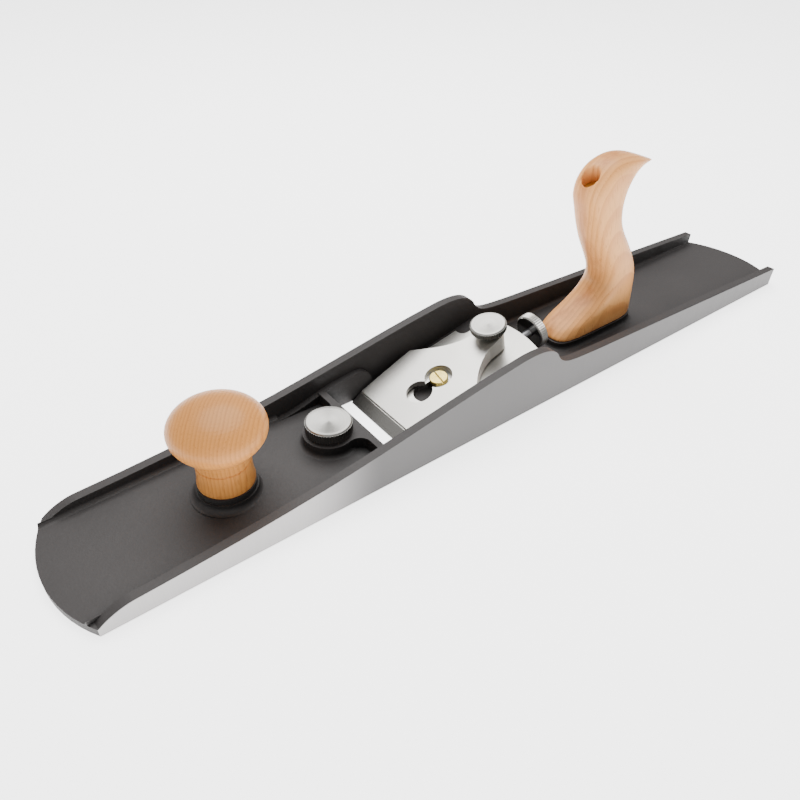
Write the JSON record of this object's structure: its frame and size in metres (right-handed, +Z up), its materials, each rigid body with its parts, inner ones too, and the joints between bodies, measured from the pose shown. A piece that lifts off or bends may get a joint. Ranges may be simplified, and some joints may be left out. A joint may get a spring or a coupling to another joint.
{
  "type": "hand plane",
  "caption": "Long low-angle bevel-up bench plane with a sliding mouth plate, screw-clamped lever cap, blade adjuster, turned front knob and tall rear tote.",
  "frame": {"origin": "on the sole's face, midway between the toe and heel tips and on the centre line", "axes": "+X from the toe to the heel, +Y across the sole, +Z up, away from the sole"},
  "size_m": [0.5587, 0.082, 0.1282],
  "materials": {
    "cast_body": "dark satin cast skin, ground bright on the sole, sides and rims",
    "ground_steel": "surface ground",
    "satin_stainless": "satin with fine turned or brushed lines",
    "plain_steel": "turned, plain",
    "dark_steel": "black oxide",
    "tool_steel": "lapped",
    "brass": "turned, lightly aged",
    "knob_wood": "reddish hardwood, satin varnish",
    "tote_wood": "pale hardwood with brown streaks, satin varnish"
  },
  "bodies": {
    "plane_body": {"body_casting": "cast_body", "front_knob": "knob_wood", "front_knob_insert": "brass", "front_knob_stud": "plain_steel", "tote": "tote_wood", "tote_rod": "plain_steel", "tote_nut": "brass", "tote_dowel": "plain_steel", "lever_cap_screw": "brass"},
    "mouth_slide": {"mouth_plate": "ground_steel", "mouth_lock_stud": "plain_steel"},
    "lock_washer": {"mouth_lock_washer": "plain_steel"},
    "lock_knob": {"mouth_lock_knob": "satin_stainless"},
    "cap": {"lever_cap": "satin_stainless"},
    "cap_foot": {"lever_cap_foot": "brass"},
    "cap_knob": {"lever_cap_knob": "satin_stainless", "lever_cap_stud": "plain_steel"},
    "swivel": {"adjuster_swivel": "brass"},
    "carriage": {"adjuster_carriage": "plain_steel", "adjuster_pin": "plain_steel"},
    "adjuster_screw": {"adjuster_rod": "plain_steel", "adjuster_wheel": "satin_stainless", "adjuster_wheel_screw": "dark_steel", "adjuster_clip": "dark_steel"},
    "iron": {"blade": "tool_steel"}
  },
  "joints": [
    {"name": "mouth_plate_slide", "type": "slide", "parent": "plane_body", "child": "mouth_slide", "axis": [1, 0, 0], "range_m": [0, 0.0055]},
    {"name": "lock_knob_rise", "type": "slide", "parent": "mouth_slide", "child": "lock_washer", "axis": [0, 0, 1], "range_m": [0, 0.0005]},
    {"name": "lock_knob_turn", "type": "hinge", "parent": "lock_washer", "child": "lock_knob", "pos_m": [-0.1204, 0, 0.0169], "axis": [0, 0, 1], "range_deg": [0, 180]},
    {"name": "lever_cap_slide", "type": "slide", "parent": "plane_body", "child": "cap", "axis": [0.9781, 0, 0.2079], "range_m": [0, 0.0028]},
    {"name": "foot_rise", "type": "slide", "parent": "cap", "child": "cap_foot", "axis": [-0.2079, 0, 0.9781], "range_m": [0, 0.002]},
    {"name": "cap_knob_turn", "type": "hinge", "parent": "cap_foot", "child": "cap_knob", "pos_m": [0.00225, 0, 0.0187], "axis": [-0.2079, 0, 0.9781], "range_deg": [0, 720]},
    {"name": "adjuster_swing", "type": "hinge", "parent": "plane_body", "child": "swivel", "pos_m": [0.01575, 0, 0.02157], "axis": [-0.2079, 0, 0.9781], "range_deg": [-2.4, 2.4]},
    {"name": "rod_advance", "type": "slide", "parent": "swivel", "child": "carriage", "axis": [0.9781, 0, 0.2079], "range_m": [-0.002, 0.004]},
    {"name": "wheel_turn", "type": "hinge", "parent": "carriage", "child": "adjuster_screw", "pos_m": [0.03621, 0, 0.02101], "axis": [0.9781, 0, 0.2079], "range_deg": [-720, 1440]},
    {"name": "blade_on_pin", "type": "hinge", "parent": "carriage", "child": "iron", "pos_m": [-0.00284, 0, 0.01761], "axis": [-0.2079, 0, 0.9781], "range_deg": [-3.7, 3.7]}
  ],
  "couplings": [
    {"joint": "lock_knob_turn", "follows": "lock_knob_rise", "rad_per_m": 6283.2},
    {"joint": "cap_knob_turn", "follows": "foot_rise", "rad_per_m": 6283.2},
    {"joint": "wheel_turn", "follows": "rod_advance", "rad_per_m": 6283.2},
    {"joint": "blade_on_pin", "follows": "adjuster_swing", "ratio": -1.5121}
  ]
}
